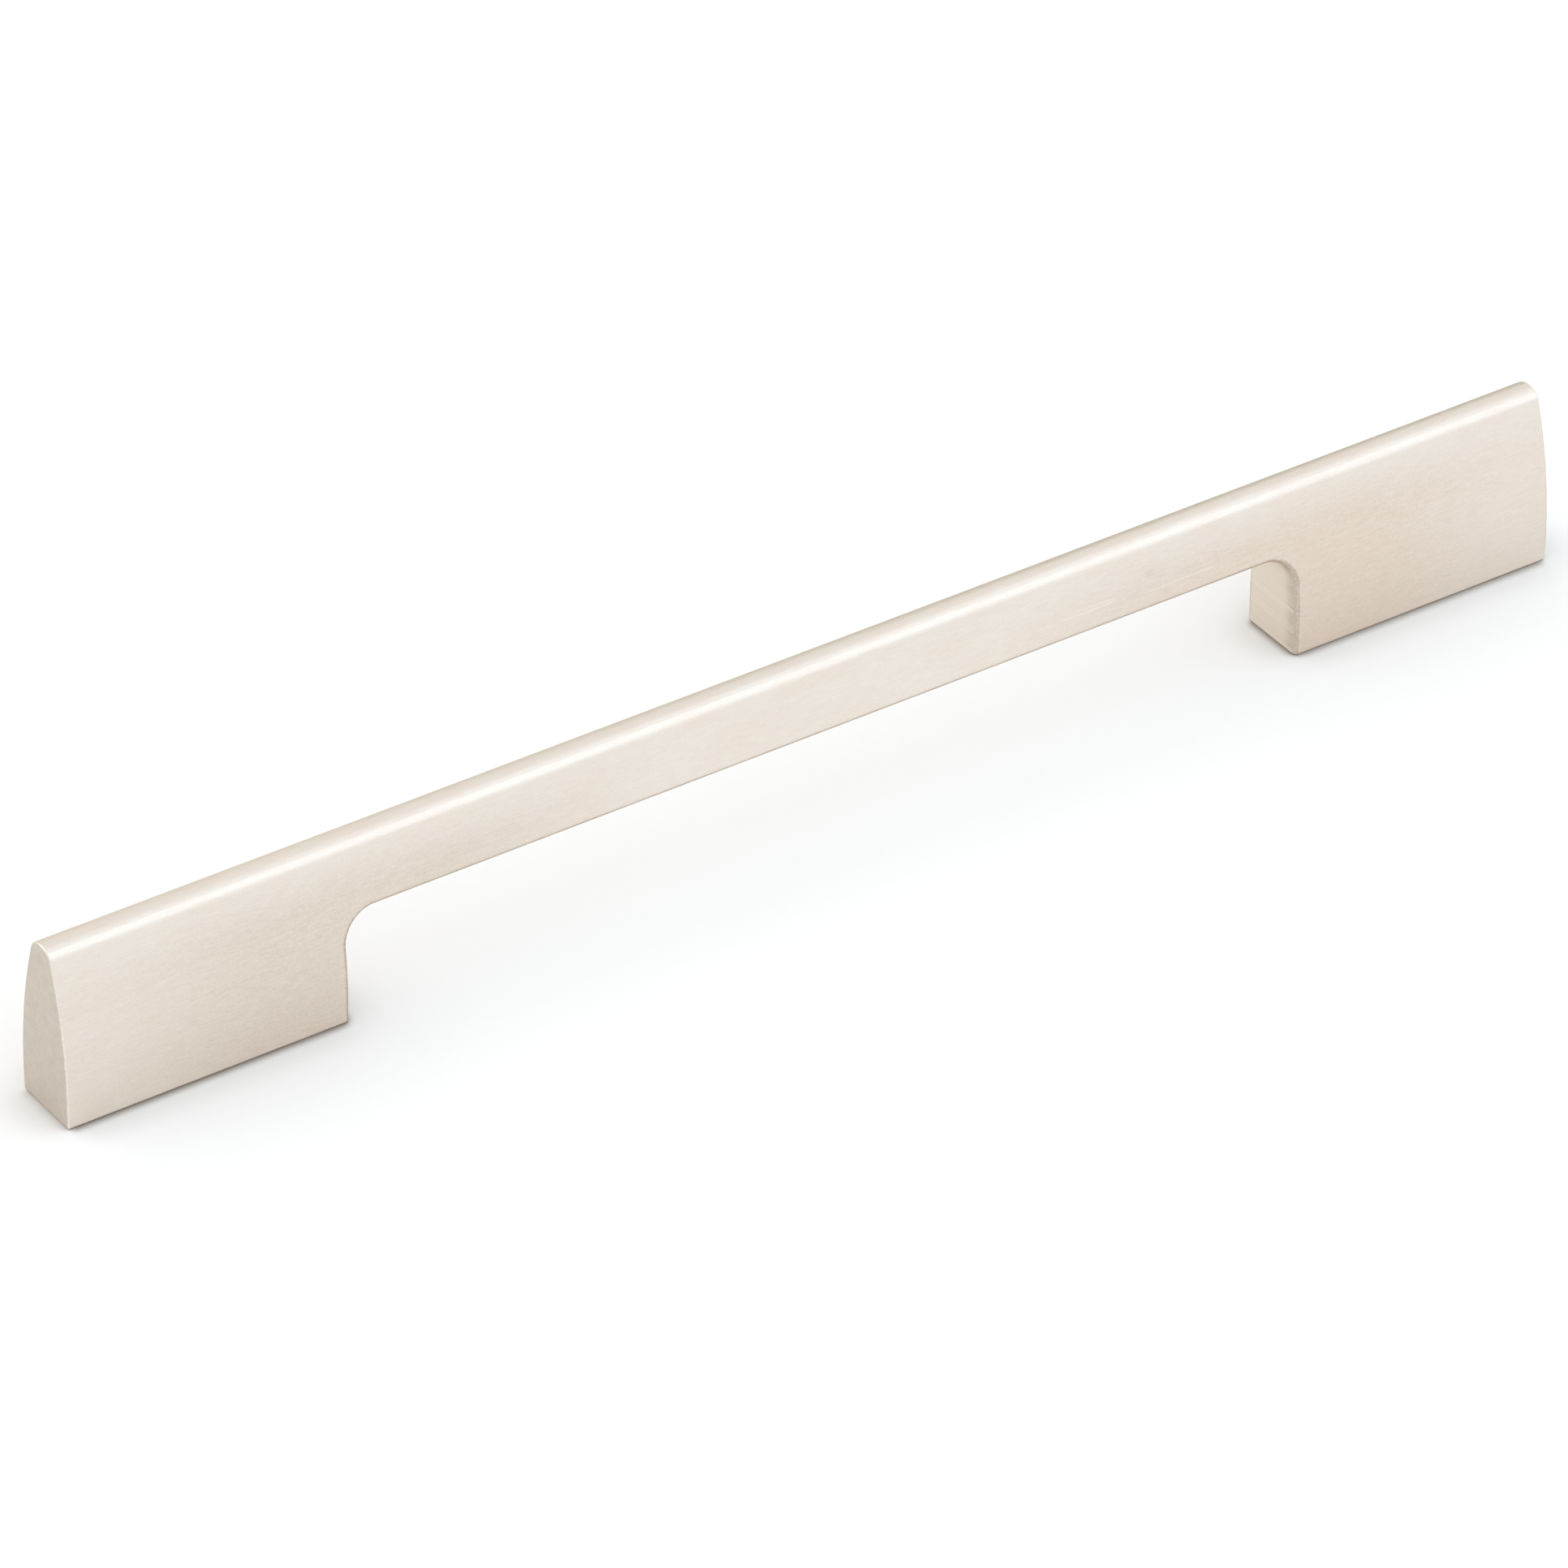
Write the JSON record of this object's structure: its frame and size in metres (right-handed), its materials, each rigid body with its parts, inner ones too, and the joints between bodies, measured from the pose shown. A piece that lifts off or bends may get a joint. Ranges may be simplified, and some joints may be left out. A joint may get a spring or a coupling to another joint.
{
  "type": "d-handle",
  "caption": "Slim one-piece pull handle for a cabinet door or drawer, with long feet, a milled finger gap, a rounded crown and blind tapped screw holes in the feet.",
  "frame": {"origin": "on the panel plane that the feet stand on, midway between the two screw holes", "axes": "+X along the handle, +Y across it from front to back, +Z out of the panel towards the crown"},
  "size_m": [0.2342, 0.011, 0.0257],
  "materials": {
    "satin_nickel": "brushed along the length and plated satin nickel, warm pale grey"
  },
  "bodies": {
    "root": {"handle": "satin_nickel"}
  },
  "joints": []
}
